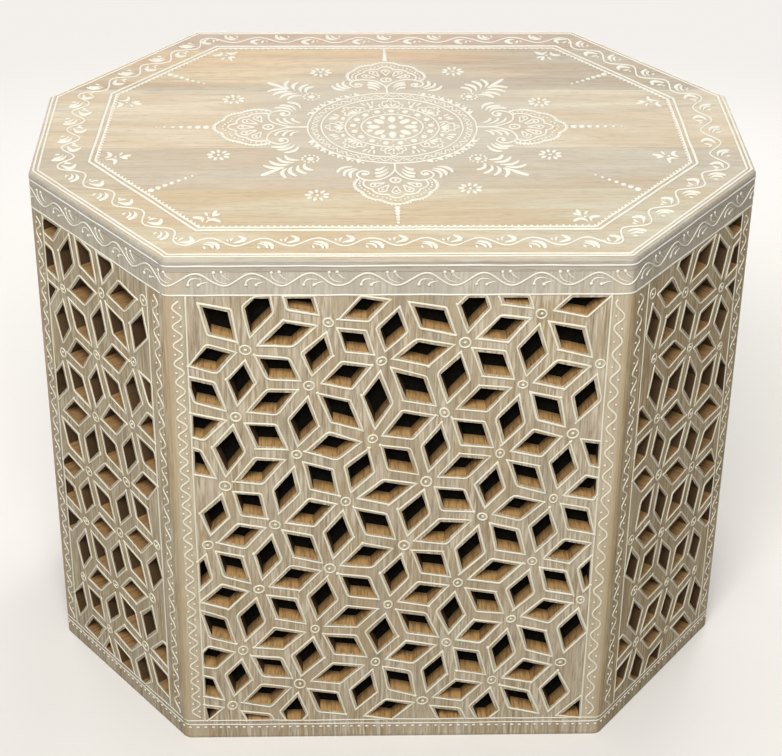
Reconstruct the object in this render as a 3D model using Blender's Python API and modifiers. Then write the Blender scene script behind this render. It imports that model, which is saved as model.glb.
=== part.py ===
"""Octagonal side table with eight pierced side boards, at rest on the floor.

Metres, +Z up. The origin is on the floor under the middle of the top, +X runs along the long side
and the front board faces -Y. The side boards are mitred to each other, glue blocks back the mitres,
dark sheets back the openwork, and the glued-up top lies on the boards and is screwed down through
cleats from inside.
"""

import itertools
import math
import random
from typing import NamedTuple

import bmesh
import bpy
from mathutils import Matrix, Vector

# Outline of the octagon and its height
WIDTH = 0.610
DEPTH = 0.470
HEIGHT = 0.481
CORNER_RUN_X = 0.122  # length that a cut corner takes from the front or back edge
CORNER_RUN_Y = 0.156  # length that a cut corner takes from a side edge
CORNER_ROUND = 0.009  # radius of the eased upright corners
CORNER_STEPS = 2  # facets of that round on each board

# Top, glued up from planks that run along X
TOP_THICKNESS = 0.0115
TOP_ROUND = 0.0030  # radius of the top's upper edge
TOP_ROUND_STEPS = 2
TOP_ROUND_PROFILE = 0.5  # a circular round
PLANK_WIDTHS = (0.122, 0.080, 0.125, 0.096, 0.047)  # from the front, ripped to fill the depth
SEAM = 0.0001  # glue line between planks and in the mitres

# Side boards and the solid margins round their openwork
BOARD = 0.014
TOP_BAND = 0.0232
FOOT_RAIL = 0.0195
STILE = 0.0180
DIAGONAL_STILE = 0.0270  # beside the front and back boards

# Openwork: rhombic holes, six of them round each node of a slanted lattice
ROW_PITCH = 0.0650
ROW_RISE = math.radians(20.5)
COLUMN_PITCH = 0.0666
COLUMN_LEAN = math.radians(12.3)
STRAP = 0.0140  # wood left between two holes
HAND_WANDER = 0.0046  # how far a hand-set node may stray
SHORTEST_EDGE = 0.0030  # shorter edges of a hole are run together
SMALLEST_HOLE = 0.000065  # square metres, smaller ones stay solid
NARROWEST_HOLE = 0.0048
SPARE_NODES = 1  # rows of nodes past the edge of a board
LATTICE_SHIFT = {  # node nearest the middle of the openwork, from that middle
    "wide": (0.0234, 0.0445),
    "diagonal": (0.0288, 0.0063),
    "narrow": (0.0100, 0.0200),
}

# Glue blocks behind the mitres
BLOCK_LEG = 0.0090
BLOCK_DEPTH = 0.0100
BLOCK_FOOT = 0.0080  # height of their lower ends over the floor

# Dark backing sheets behind the openwork, from the glue blocks' foot up to the cleats
LINING = 0.0020

# Cleats under the top, and the screws through them
CLEAT_HEIGHT = 0.0160
CLEAT_DEPTH = 0.0160
SCREW_SHANK = 0.0040
SCREW_HEAD = 0.0080
SCREW_HEAD_HEIGHT = 0.0030
SCREW_POINT = 0.0035
SCREW_RECESS = 0.0005  # head below the cleat's lower face
SCREW_COVER = 0.0045  # wood left over the point
SCREW_STEPS = 12

FIT = 0.0003  # gap at a joint
CUT_OVERRUN = 0.0010  # how far a cutter passes the face it enters
WELD = 0.000001  # points closer than this are one point
TURNED_WELD = 0.00001  # the same on the axis of a turned piece

# Name, kind, number of cleat screws and hand of each side, anticlockwise from the front. The hand
# settles which way each node of the openwork strays.
SIDES = (
    ("front", "wide", 2, 119004),
    ("front_right", "diagonal", 1, 217939),
    ("right", "narrow", 2, 1),
    ("back_right", "diagonal", 1, 2),
    ("back", "wide", 2, 3),
    ("back_left", "diagonal", 1, 4),
    ("left", "narrow", 2, 5),
    ("front_left", "diagonal", 1, 25339),
)
MIRRORED = ("front_right", "right", "back_right")  # boards whose openwork slants the other way

UNDERSIDE = HEIGHT - TOP_THICKNESS
BOARD_HEIGHT = UNDERSIDE - FIT
SCREW_SEAT = UNDERSIDE - FIT - CLEAT_HEIGHT + SCREW_RECESS
SCREW_LENGTH = UNDERSIDE + TOP_THICKNESS - SCREW_COVER - SCREW_SEAT


class Side(NamedTuple):
    """One edge of the octagon, from its left end to its right end as seen from outside."""

    name: str
    kind: str
    screws: int
    hand: int
    start: Vector
    along: Vector
    outward: Vector
    length: float
    turns: tuple  # angle turned at the left and the right end
    stiles: tuple


def start_scene():
    for obj in list(bpy.data.objects):
        bpy.data.objects.remove(obj)


def new_collection(name):
    collection = bpy.data.collections.new(name)
    bpy.context.scene.collection.children.link(collection)
    return collection


def new_material(name, colour, roughness, metallic=0.0):
    material = bpy.data.materials.new(name)
    material.use_nodes = True
    shader = material.node_tree.nodes["Principled BSDF"]
    shader.inputs["Base Color"].default_value = (*colour, 1.0)
    shader.inputs["Roughness"].default_value = roughness
    shader.inputs["Metallic"].default_value = metallic
    return material


def add_part(name, data, material, matrix=None):
    """A sub-part in the table's collection, on the table's empty."""
    part = bpy.data.objects.new(name, data)
    data.materials.clear()
    data.materials.append(material)
    PARTS.objects.link(part)
    part.parent = TABLE
    part.matrix_world = matrix or Matrix()
    return part


def add_cutter(name, data, matrix):
    cutter = bpy.data.objects.new(name, data)
    cutter.hide_render = True
    cutter.display_type = "WIRE"
    CUTTERS.objects.link(cutter)
    cutter.matrix_world = matrix
    return cutter


def cut(part, cutter):
    modifier = part.modifiers.new(cutter.name, "BOOLEAN")
    modifier.operation = "DIFFERENCE"
    modifier.solver = "EXACT"
    modifier.object = cutter


def flat_curve(name, loops, thickness):
    """A filled outline in its own XY plane, half of its thickness to each side."""
    curve = bpy.data.curves.new(name, "CURVE")
    curve.dimensions = "2D"
    curve.fill_mode = "BOTH"
    curve.extrude = thickness / 2
    for loop in loops:
        spline = curve.splines.new("POLY")
        spline.points.add(len(loop) - 1)
        spline.use_cyclic_u = True
        for point, (x, y) in zip(spline.points, loop):
            point.co = (x, y, 0.0, 1.0)
    return curve


def curve_to_bmesh(curve):
    """The solid of a flat curve as one welded bmesh. The curve is removed."""
    helper = bpy.data.objects.new(curve.name, curve)
    CUTTERS.objects.link(helper)
    graph = bpy.context.evaluated_depsgraph_get()
    mesh = bpy.data.meshes.new_from_object(helper.evaluated_get(graph))
    bm = bmesh.new()
    bm.from_mesh(mesh)
    bmesh.ops.remove_doubles(bm, verts=bm.verts, dist=WELD)
    bmesh.ops.recalc_face_normals(bm, faces=bm.faces)
    bpy.data.objects.remove(helper)
    bpy.data.curves.remove(curve)
    bpy.data.meshes.remove(mesh)
    return bm


def bmesh_to_mesh(bm, name):
    mesh = bpy.data.meshes.new(name)
    bm.to_mesh(mesh)
    bm.free()
    return mesh


def octagon():
    """Corners in plan, anticlockwise from the left end of the front edge."""
    x, y = WIDTH / 2, DEPTH / 2
    quarter = ((x - CORNER_RUN_X, -y), (x, CORNER_RUN_Y - y))
    right = [Vector(p) for p in quarter] + [Vector((px, -py)) for px, py in reversed(quarter)]
    left = [-p for p in right]
    return [left[3], *right, *left[:3]]


def stile_beside(kind, neighbour):
    return DIAGONAL_STILE if (kind, neighbour) == ("diagonal", "wide") else STILE


def make_sides():
    corners = octagon()
    count = len(SIDES)
    along = [(corners[(k + 1) % count] - corners[k]).normalized() for k in range(count)]
    sides = []
    for k, (name, kind, screws, hand) in enumerate(SIDES):
        before, after = (k - 1) % count, (k + 1) % count
        turns = (along[before].angle(along[k]), along[k].angle(along[after]))
        stiles = (stile_beside(kind, SIDES[before][1]), stile_beside(kind, SIDES[after][1]))
        outward = Vector((along[k].y, -along[k].x))
        length = (corners[after] - corners[k]).length
        place = (corners[k], along[k], outward, length)
        sides.append(Side(name, kind, screws, hand, *place, turns, stiles))
    return sides


def side_matrix(side, u, inward, z):
    """Frame with X along the side, Y up and Z outward, at a place given in the side's own terms."""
    place = side.start + side.along * u - side.outward * inward
    axes = Matrix(((side.along.x, 0, side.outward.x), (side.along.y, 0, side.outward.y), (0, 1, 0)))
    return Matrix.Translation((place.x, place.y, z)) @ axes.to_4x4()


# Openwork outlines


def lattice_node(side, i, j):
    """Node in row j, place i, in metres from the middle of the openwork."""
    row = Vector((math.cos(ROW_RISE), math.sin(ROW_RISE))) * ROW_PITCH
    column = Vector((math.sin(COLUMN_LEAN), math.cos(COLUMN_LEAN))) * -COLUMN_PITCH
    hand = random.Random(f"{side.hand} {side.name} {i} {j}")
    stray = Vector((hand.uniform(-1, 1), hand.uniform(-1, 1))) * HAND_WANDER
    return Vector(LATTICE_SHIFT[side.kind]) + i * row + j * column + stray


def rhombi(side, reach):
    """Four-cornered cells, one across each link between neighbouring nodes, anticlockwise."""
    for i, j in itertools.product(range(-reach, reach + 1), repeat=2):
        node = {(a, b): lattice_node(side, i + a, j + b) for a in (-1, 0, 1) for b in (-1, 0, 1)}
        upper = (node[0, 0] + node[1, 0] + node[1, 1]) / 3
        lower = (node[0, 0] + node[1, 1] + node[0, 1]) / 3
        over_row = (node[0, -1] + node[1, 0] + node[0, 0]) / 3
        left_of_column = (node[-1, 0] + node[0, 0] + node[0, 1]) / 3
        yield [node[0, 0], upper, node[1, 0], over_row]
        yield [node[0, 0], lower, node[1, 1], upper]
        yield [node[0, 0], left_of_column, node[0, 1], lower]


def cross(a, b):
    return a.x * b.y - a.y * b.x


def area(loop):
    return sum(cross(p, q) for p, q in zip(loop, loop[1:] + loop[:1])) / 2


def inset(loop, distance):
    """The loop with each edge moved inward."""
    count = len(loop)
    moved = []
    for k in range(count):
        back = (loop[k] - loop[k - 1]).normalized()
        on = (loop[(k + 1) % count] - loop[k]).normalized()
        back_in, on_in = Vector((-back.y, back.x)), Vector((-on.y, on.x))
        moved.append(loop[k] + (back_in + on_in) * distance / (1 + back_in.dot(on_in)))
    return moved


def clip(loop, axis, limit, sign):
    """The part of the loop on one side of a line across an axis."""
    kept = []
    for p, q in zip(loop, loop[1:] + loop[:1]):
        p_in, q_in = sign * (limit - p[axis]) >= 0, sign * (limit - q[axis]) >= 0
        if p_in:
            kept.append(p)
        if p_in != q_in:
            kept.append(p.lerp(q, (limit - p[axis]) / (q[axis] - p[axis])))
    return kept


def run_together(loop):
    """The loop without its shortest edges."""
    kept = []
    for point in loop:
        if not kept or (point - kept[-1]).length > SHORTEST_EDGE:
            kept.append(point)
    while len(kept) > 1 and (kept[0] - kept[-1]).length <= SHORTEST_EDGE:
        kept.pop()
    return kept


def is_sound(loop):
    """True for a hole that is convex and large enough to be cut."""
    if len(loop) < 3 or area(loop) < SMALLEST_HOLE:
        return False
    edges = [q - p for p, q in zip(loop, loop[1:] + loop[:1])]
    longest = max(edge.length for edge in edges)
    convex = all(cross(a, b) > 0 for a, b in zip(edges, edges[1:] + edges[:1]))
    return convex and area(loop) / longest > NARROWEST_HOLE


def openwork(side):
    """Outlines of a board's holes, along the side and above the floor."""
    left, right = side.stiles
    low, high = FOOT_RAIL, BOARD_HEIGHT - TOP_BAND
    if side.name in MIRRORED:
        left, right = right, left
    middle = Vector(((left + side.length - right) / 2, (low + high) / 2))
    reach = math.ceil(max(side.length, BOARD_HEIGHT) / min(ROW_PITCH, COLUMN_PITCH)) + SPARE_NODES
    holes = []
    for cell in rhombi(side, reach):
        loop = [point + middle for point in inset(cell, STRAP / 2)]
        for axis, limit, sign in ((0, left, -1), (0, side.length - right, 1), (1, low, -1), (1, high, 1)):
            loop = clip(loop, axis, limit, sign)
        loop = run_together(loop)
        if is_sound(loop):
            holes.append(loop)
    if side.name in MIRRORED:
        holes = [[Vector((side.length - p.x, p.y)) for p in reversed(loop)] for loop in holes]
    return holes


# Side boards


def mitre_run(turn, depth):
    """Distance from a board's end to its mitre plane at a depth behind the outer face."""
    return depth * math.tan(turn / 2) + SEAM / 2 / math.cos(turn / 2)


def end_profile(turn, begin):
    """Outer and inner points, as (distance from the end, depth), from the flat board to the mitre."""
    outer = []
    for step in range(CORNER_STEPS + 1):
        angle = turn / 2 * step / CORNER_STEPS
        depth = CORNER_ROUND * (1 - math.cos(angle))
        run = CORNER_ROUND * (math.tan(turn / 2) - math.sin(angle)) + mitre_run(turn, 0)
        outer.append((run, depth))
    end = mitre_run(turn, BOARD)
    steps = len(outer)
    inner = [(begin + (end - begin) * (k + 1) / steps, BOARD) for k in range(steps)]
    return list(zip(outer, inner))


def grow_end(bm, profile, at, sign):
    """Carries the flat end of a board on through its rounded corner to the mitre."""
    face = min(bm.faces, key=lambda f: sign * f.calc_center_median().x)
    for outer, inner in profile:
        face = bmesh.ops.extrude_discrete_faces(bm, faces=[face])["faces"][0]
        for vert in face.verts:
            run, depth = outer if vert.co.z > 0 else inner
            vert.co.x = at + sign * run
            vert.co.z = BOARD / 2 - depth


def make_board(side):
    begins = [(mitre_run(t, BOARD) + s) / 2 for t, s in zip(side.turns, side.stiles)]
    left, right = begins[0], side.length - begins[1]
    blank = [(left, 0.0), (right, 0.0), (right, BOARD_HEIGHT), (left, BOARD_HEIGHT)]
    bm = curve_to_bmesh(flat_curve(f"board_{side.name}", [blank, *openwork(side)], BOARD))
    grow_end(bm, end_profile(side.turns[0], begins[0]), 0.0, 1)
    grow_end(bm, end_profile(side.turns[1], begins[1]), side.length, -1)
    name = f"board_{side.name}"
    return add_part(name, bmesh_to_mesh(bm, name), WASHED_WOOD, side_matrix(side, 0, BOARD / 2, 0))


# Top


def rounded_octagon(sides):
    outline = []
    for side in sides:
        turn = side.turns[0]
        centre = side.start - side.outward * CORNER_ROUND
        centre += side.along * CORNER_ROUND * math.tan(turn / 2)
        first = math.atan2(side.outward.y, side.outward.x) - turn
        for step in range(2 * CORNER_STEPS + 1):
            angle = first + turn * step / (2 * CORNER_STEPS)
            outline.append(centre + Vector((math.cos(angle), math.sin(angle))) * CORNER_ROUND)
    return outline


def plank_edges():
    """Seams across the top, from the front edge to the back edge."""
    runs = itertools.accumulate(PLANK_WIDTHS, initial=0.0)
    return [run * DEPTH / sum(PLANK_WIDTHS) - DEPTH / 2 for run in runs]


def cut_flat(bm, y, sign):
    """Takes away what lies beyond a plane across Y and closes the cut."""
    geometry = bm.verts[:] + bm.edges[:] + bm.faces[:]
    bmesh.ops.bisect_plane(
        bm, geom=geometry, dist=WELD, plane_co=(0, y, 0), plane_no=(0, sign, 0), clear_outer=True
    )
    bmesh.ops.holes_fill(bm, edges=[edge for edge in bm.edges if edge.is_boundary])


def make_top(sides):
    """The planks of the top, front to back."""
    slab = curve_to_bmesh(flat_curve("top", [rounded_octagon(sides)], TOP_THICKNESS))
    rim = [e for e in slab.edges if is_upper_rim(e)]
    bmesh.ops.bevel(
        slab,
        geom=rim,
        offset=TOP_ROUND,
        segments=TOP_ROUND_STEPS,
        profile=TOP_ROUND_PROFILE,
        affect="EDGES",
    )
    edges = plank_edges()
    planks = []
    for k, (front, back) in enumerate(zip(edges, edges[1:])):
        bm = slab.copy()
        if k > 0:
            cut_flat(bm, front + SEAM / 2, -1)
        if k < len(PLANK_WIDTHS) - 1:
            cut_flat(bm, back - SEAM / 2, 1)
        name = f"top_plank_{k + 1}"
        place = Matrix.Translation((0, 0, UNDERSIDE + TOP_THICKNESS / 2))
        planks.append((front, back, add_part(name, bmesh_to_mesh(bm, name), WASHED_WOOD, place)))
    slab.free()
    return planks


def is_upper_rim(edge):
    upper = all(v.co.z > 0 for v in edge.verts)
    return upper and any(abs(face.normal.z) < 0.5 for face in edge.link_faces)


# Glue blocks, backing sheets, cleats and screws


def make_block(side, before):
    """The glue block behind the mitre at the left end of a side."""
    turn = side.turns[0]
    corner = side.start + (side.along * math.tan(turn / 2) - side.outward) * (BOARD + FIT)
    right, left = corner + side.along * BLOCK_LEG, corner - before.along * BLOCK_LEG
    outline = [
        corner,
        right,
        right - side.outward * BLOCK_DEPTH,
        left - before.outward * BLOCK_DEPTH,
        left,
    ]
    height = BOARD_HEIGHT - BLOCK_FOOT
    curve = flat_curve(f"block_{before.name}_{side.name}", [outline], height)
    add_part(curve.name, curve, RAW_WOOD, Matrix.Translation((0, 0, BLOCK_FOOT + height / 2)))


def clear_end(turn, depth):
    """Distance from a side's end to a piece of this depth, clear of the glue block and its neighbour."""
    corner = (BOARD + FIT) * math.tan(turn / 2)
    beside_block = BLOCK_LEG + FIT
    beside_neighbour = depth * math.tan(turn / 2) + FIT / math.cos(turn / 2)
    return corner + max(beside_block, beside_neighbour)


def add_strip(name, side, low, high, depth, material):
    """A flat piece against the inside of a board, and its left and right ends along the side."""
    left, right = clear_end(side.turns[0], depth), side.length - clear_end(side.turns[1], depth)
    bm = bmesh.new()
    bmesh.ops.create_cube(bm, size=1.0)
    bmesh.ops.scale(bm, vec=(right - left, high - low, depth), verts=bm.verts)
    place = side_matrix(side, (left + right) / 2, BOARD + FIT + depth / 2, (low + high) / 2)
    return add_part(name, bmesh_to_mesh(bm, name), material, place), left, right


def make_lining(side):
    high = BOARD_HEIGHT - CLEAT_HEIGHT - FIT
    add_strip(f"lining_{side.name}", side, BLOCK_FOOT, high, LINING, BLACK_SHEET)


def make_cleat(side):
    """A cleat, and the places of its screws' heads."""
    low = BOARD_HEIGHT - CLEAT_HEIGHT
    name = f"cleat_{side.name}"
    cleat, left, right = add_strip(name, side, low, BOARD_HEIGHT, CLEAT_DEPTH, RAW_WOOD)
    inward = BOARD + FIT + CLEAT_DEPTH / 2
    spacing = (right - left) / side.screws
    runs = [left + spacing * (k + 0.5) for k in range(side.screws)]
    return cleat, [side_matrix(side, run, inward, SCREW_SEAT).translation for run in runs]


def turned(name, profile):
    """Mesh of a profile, given from its top down to its foot."""
    bm = bmesh.new()
    verts = [bm.verts.new((radius, 0, z)) for radius, z in profile]
    for upper, lower in zip(verts, verts[1:]):
        bm.edges.new((upper, lower))
    return bmesh_to_mesh(bm, name)


def add_screw_modifier(obj):
    modifier = obj.modifiers.new("turned", "SCREW")
    modifier.steps = SCREW_STEPS
    modifier.render_steps = SCREW_STEPS
    modifier.use_merge_vertices = True
    modifier.merge_threshold = TURNED_WELD
    modifier.use_smooth_shade = True


def make_screw(name, place):
    """A countersunk screw with its point up, and the cutter for its hole."""
    shank, head = SCREW_SHANK / 2, SCREW_HEAD / 2
    neck = SCREW_LENGTH - SCREW_POINT
    body = [(0, SCREW_LENGTH), (shank, neck), (shank, SCREW_HEAD_HEIGHT), (head, 0), (0, 0)]
    screw = add_part(name, turned(name, body), STEEL, Matrix.Translation(place))
    add_screw_modifier(screw)
    end, foot = SCREW_LENGTH + FIT, -SCREW_RECESS - CUT_OVERRUN
    wide, sunk = shank + FIT, head + FIT
    hole = [(0, end), (wide, end), (wide, SCREW_HEAD_HEIGHT), (sunk, 0), (sunk, foot), (0, foot)]
    cutter = add_cutter(f"hole_{name}", turned(f"hole_{name}", hole), Matrix.Translation(place))
    add_screw_modifier(cutter)
    return cutter


def fix_cleat(side, planks):
    """A cleat with its screws, and their holes in it and in the planks above."""
    cleat, places = make_cleat(side)
    for k, place in enumerate(places):
        cutter = make_screw(f"screw_{side.name}_{k + 1}", place)
        cut(cleat, cutter)
        radius = SCREW_SHANK / 2 + FIT
        for front, back, plank in planks:
            if front - radius < place.y < back + radius:
                cut(plank, cutter)


def main():
    sides = make_sides()
    planks = make_top(sides)
    for k, side in enumerate(sides):
        make_board(side)
        make_block(side, sides[k - 1])
        make_lining(side)
        fix_cleat(side, planks)


start_scene()
PARTS = new_collection("openwork_side_table")
CUTTERS = new_collection("cutters")
WASHED_WOOD = new_material("whitewashed_wood", (0.56, 0.45, 0.33), 0.6)
RAW_WOOD = new_material("raw_wood", (0.36, 0.22, 0.10), 0.75)
BLACK_SHEET = new_material("black_backing", (0.008, 0.008, 0.007), 0.9)
STEEL = new_material("zinc_plated_steel", (0.62, 0.62, 0.60), 0.35, 1.0)
TABLE = bpy.data.objects.new("side_table", None)
PARTS.objects.link(TABLE)
main()
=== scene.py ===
"""Looks of the octagonal side table: whitewashed wood under raised cream piping.

The wood pieces are the frame's own nodes with new materials. All piping is built here as domed
strokes and dots, drawn in millimetres on each board, round the rim and on the top.
"""

import itertools
import math
import random
from typing import NamedTuple

import bpy
import numpy as np
from mathutils import Matrix, Vector


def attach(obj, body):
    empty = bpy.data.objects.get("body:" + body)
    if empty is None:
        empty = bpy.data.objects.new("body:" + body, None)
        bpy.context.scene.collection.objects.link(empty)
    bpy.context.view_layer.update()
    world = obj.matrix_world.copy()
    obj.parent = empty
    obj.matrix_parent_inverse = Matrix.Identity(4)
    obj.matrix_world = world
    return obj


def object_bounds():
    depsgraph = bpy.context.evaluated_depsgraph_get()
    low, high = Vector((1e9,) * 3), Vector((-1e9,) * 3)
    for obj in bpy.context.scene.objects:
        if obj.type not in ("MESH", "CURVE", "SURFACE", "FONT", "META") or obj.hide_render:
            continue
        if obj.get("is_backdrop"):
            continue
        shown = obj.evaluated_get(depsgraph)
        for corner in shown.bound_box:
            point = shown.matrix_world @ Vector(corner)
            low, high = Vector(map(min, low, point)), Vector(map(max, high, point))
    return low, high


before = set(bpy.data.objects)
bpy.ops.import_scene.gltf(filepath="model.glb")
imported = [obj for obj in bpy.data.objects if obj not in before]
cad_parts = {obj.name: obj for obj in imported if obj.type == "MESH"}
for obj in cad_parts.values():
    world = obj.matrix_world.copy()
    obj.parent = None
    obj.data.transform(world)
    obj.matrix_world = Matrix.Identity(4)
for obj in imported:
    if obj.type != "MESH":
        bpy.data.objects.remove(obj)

CAD_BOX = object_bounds()
MM = 0.001

# The frame's sizes, in millimetres
WIDTH = (CAD_BOX[1].x - CAD_BOX[0].x) / MM
DEPTH = (CAD_BOX[1].y - CAD_BOX[0].y) / MM
HEIGHT = (CAD_BOX[1].z - CAD_BOX[0].z) / MM
CORNER_RUN_X = 122.0
CORNER_RUN_Y = 156.0
CORNER_ROUND = 9.0
CORNER_STEPS = 8
TOP_THICKNESS = 11.5
BOARD = 14.0
TOP_GAP = 0.3
BOARD_HEIGHT = HEIGHT - TOP_THICKNESS - TOP_GAP
TOP_BAND = 23.2
FOOT_RAIL = 19.5
STILE = 18.0
DIAGONAL_STILE = 27.0
ROW_PITCH = 65.0
ROW_RISE = math.radians(20.5)
COLUMN_PITCH = 66.6
COLUMN_LEAN = math.radians(12.3)
HAND_WANDER = 4.6
LATTICE_SHIFT = {"wide": (23.4, 44.5), "diagonal": (28.8, 6.3), "narrow": (10.0, 20.0)}
LATTICE_REACH = 9
SIDES = (  # name, kind and the hand that settles how its nodes stray
    ("front", "wide", 119004),
    ("front_right", "diagonal", 217939),
    ("right", "narrow", 1),
    ("back_right", "diagonal", 2),
    ("back", "wide", 3),
    ("back_left", "diagonal", 4),
    ("left", "narrow", 5),
    ("front_left", "diagonal", 25339),
)
MIRRORED = ("front_right", "right", "back_right")
FACE_SLACK = 0.02  # from a board's outer face, for points that count as on it

# Piping: half widths of the lines, and how a stroke stands on the wood
BOLD = 1.3
LINE = 1.05
FINE = 0.86
DOME = 0.56  # height of a stroke over its half width
CROWN = 1.4  # half width from which on strokes get no higher
SINK = 0.06  # how far a stroke's foot lies in the wood
STROKE_SHAPE = (  # across a stroke: share of the half width, foot and share of the height
    (-1.0, -SINK, 0.0), (-0.72, 0.0, 0.78), (0.0, 0.0, 1.0), (0.72, 0.0, 0.78), (1.0, -SINK, 0.0),
)
STROKE_ENDS = ((0.55, 0.84), (0.90, 0.45))  # how far past the end, and the share left there
DOT_SHAPE = ((1.0, -SINK, 0.0), (0.86, 0.0, 0.7), (0.5, 0.0, 0.96))  # share, foot and height
SHARPEST = -0.6  # cosine of the turn past which a mitre gets no longer
SHARPEST_HOLE = -0.7  # the same for the line round a hole
SWELL = 0.12  # share by which the width of a line changes
TREMBLE = 0.35  # how far a drawn line strays
SLIGHT = 0.15  # the same for a short careful line
LEAF_STRAY = 0.5  # how far a leaf strays from its place
LEAF_STEP = 1.4
LEAF_WIDTHS = (0.25, 0.75)  # share at the tip, and what the belly adds
DROP_WAIST, DROP_BELLY = (0.42, 0.62), (0.76, 1.0)  # place along a petal, and share of its width
DROP_DOT = (0.68, 0.42)
DROP_STEP = 1.3
BEAD_SIZES = (0.85, 1.15)
DOT_SIDES = 10
CURVE_STEP = 1.6  # between the points of a curve
EASE_SHARE = 0.4  # most of an edge that an eased corner takes

# Piping on the boards, from the floor up and from the arris inward
BASE_LINES = (18.9, 14.6)
BASE_DOTS = 11.6
BASE_DOT_PITCH = 6.8
BASE_DOT_SIZES = (0.95, 1.2)
BASE_DOT_LONG = 1.5
BASE_WIDTH = 0.85 * FINE
BAND_STEP = 4.0
APRON_LINE = 448.8
APRON_VINE = 462.5
APRON_WAVE = 45.0
APRON_SWING = 5.4
APRON_START = 17.0  # first rise of the vine, past the front board's left corner
TROUGH_LEAVES = (((2.0, 2.5), (-5.8, 5.4), (-7.8, 11.6)), ((4.8, 5.5), (0.4, 8.3), (-1.8, 12.0)))
CREST_LEAVES = (((5.5, -5.4), (-2.2, -5.1), (-5.4, -9.9)), ((9.8, -7.5), (5.5, -8.4), (2.5, -10.2)))
LEAF_HEAD = 1.5
HEAD_SIZES = (0.9, 1.15)
EDGE_LINE = 474.4
STILE_LINE = 16.3
DIAGONAL_LINES = (25.0, 17.6)  # beside the front or back board, and beside a narrow one
ZIGZAG_INSET = {STILE_LINE: 9.2, DIAGONAL_LINES[0]: 13.4, DIAGONAL_LINES[1]: 9.6}
ZIGZAG_WAVES = {"wide": (17.0, 23.5), "diagonal": (18.8, 18.8), "narrow": (20.0, 20.0)}
ZIGZAG_SWING = 3.6
ZIGZAG_CLEAR = (4.0, 5.0)  # at its foot and at its head
ZIGZAG_STEP = 1.4
ZIGZAG_TREMBLE = 0.5
ZIGZAG_WIDTH = 1.05 * FINE
ZIGZAG_DOTS = 0.75 * ZIGZAG_SWING
ZIGZAG_DOT_SIZES = (0.9, 1.2)
STILE_STEP = 9.0
OUTLINE_GAP = 2.5  # between a hole and the line round it
OUTLINE_STRAY = 0.8
OUTLINE_STEP = 5.0
OUTLINE_EASES = (1.0, 3.5)
OUTLINE_WIDTHS = (0.9, 1.3)
OVERSHOOTS = (0.0, 1.8)  # of a line past its own start
BLOB_CHANCE = 0.5
BLOB_SIZES = (1.2, 1.7)
RING = 4.2
RING_TURNS, RING_SHARES, RING_SIZES = (0, math.pi), (0.8, 1.0), (0.9, 1.12)
RING_WIDTHS = (0.85, 1.1)
RING_DOT = 1.25
RING_DOT_STRAY = 0.6
RING_DOT_LONG = (1.0, 1.4)
RING_CLEAR = (4.0, 8.0)  # least distance of a ring's middle from the upright and the level lines

# Lines on the top, from its middle
ARRIS_LINE = 3.6
BORDER_LINE = 7.4
PANEL_BACK = ((-160.5, 195.5), (161.5, 196.0), (256.0, 71.0), (257.0, -66.0))
PANEL_FRONT = ((160.5, -186.5), (-159.5, -187.0), (-256.0, -60.0), (-250.0, 83.0))
PANEL_GAP = 4.7
PANEL_STEP = 8.0
PICOT_PITCH = 5.1
PICOT_LIFT = 1.5
PICOT_SIZES = (1.1, 1.35)
VINE_WAVES = {"front": 8, "right": 3, "back": 7, "left": 4}
DIAGONAL_WAVES = 4
VINE_SWING = 7.4
VINE_WIDTH = 0.9 * LINE
VINE_POINTS = 24  # in a wave
VINE_SMOOTHING = 6
CREST_FULL, TROUGH_FULL = 0.78, 0.88
CREST_NEST = (  # tail, bend, head and half width of each leaf, from the middle of the vine's bend
    ((-2.0, 0.0), (5.3, -3.0), (7.6, -10.2), 2.1),
    ((-4.0, -3.0), (1.4, -5.2), (3.6, -9.6), 1.5),
    ((-4.2, -6.0), (-3.9, -8.0), (-3.3, -9.6), 1.2),
)
TROUGH_NEST = (
    ((-1.8, -1.4), (5.8, 3.6), (1.4, 9.6), 2.6),
    ((-4.0, 1.4), (-3.9, 4.4), (-2.5, 7.2), 1.3),
    ((-6.6, 2.2), (-7.3, 3.4), (-8.0, 4.8), 1.2),
)

# Medallion
MEDALLION = (0.8, 10.2)
MEDALLION_RINGS = (73.8, 61.8, 41.0, 27.0)
MEDALLION_STEP = 2.5
MEDALLION_WIDTH = 0.85 * LINE
HEART = 4.3
PETALS = 8
PETAL_PLACE, PETAL = (0, 16.2), (3.9, 1.65)  # half width, and length over width
BUD_PLACE, BUD = (0, 21.4), (2.7, 1.2)
BEADS = 17
BEAD_PLACE, BEAD = (0, 34.2), 3.3
SEED_PLACES, SEED = ((0, 30.4), (0, 37.8)), 0.95
SHELL = ((-9.5, 1.5), (-10.8, 6.5), (-7.4, 9.2), (-7.2, 13.2), (-3.4, 13.6), (-2.2, 16.8), (0.0, 17.8))
SHELL_WIDTH = 0.9 * FINE
SHELL_STEP = 1.3
SHELL_RIBS = (-1.0, -0.5, 0.0, 0.5, 1.0)
SHELL_RIB = (2.2, 5.6, 9.0)
SHELL_DOT = (0, 13.4)
SHELL_DOT_SIZE = 1.2
SPRAY_BUD_PLACE, SPRAY_BUD = (0, 5.4), (2.2, 1.4)
SPRAY_DASHES = (-4.0, 0.0, 4.0)
SPRAY_DASH = ((0.8, 9.6), (1.0, 12.4), (1.3, 15.6))
DASH_WIDTH = 1.25
WAVES = 40
WAVE_POINTS = 10
WAVE_SWING = 2.3
WAVE_WIDTH = 0.8 * FINE
WAVE_DOTS = 2.0
WAVE_DOT = 0.8
TEETH = 7
TOOTH = (((0, 1.5), (2.9, 0.9)), ((-0.8, 4.0), (1.5, 1.5)))  # place past the ring, and shape
TOOTH_GAP_DOT = ((0, 4.6), 1.25)
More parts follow.
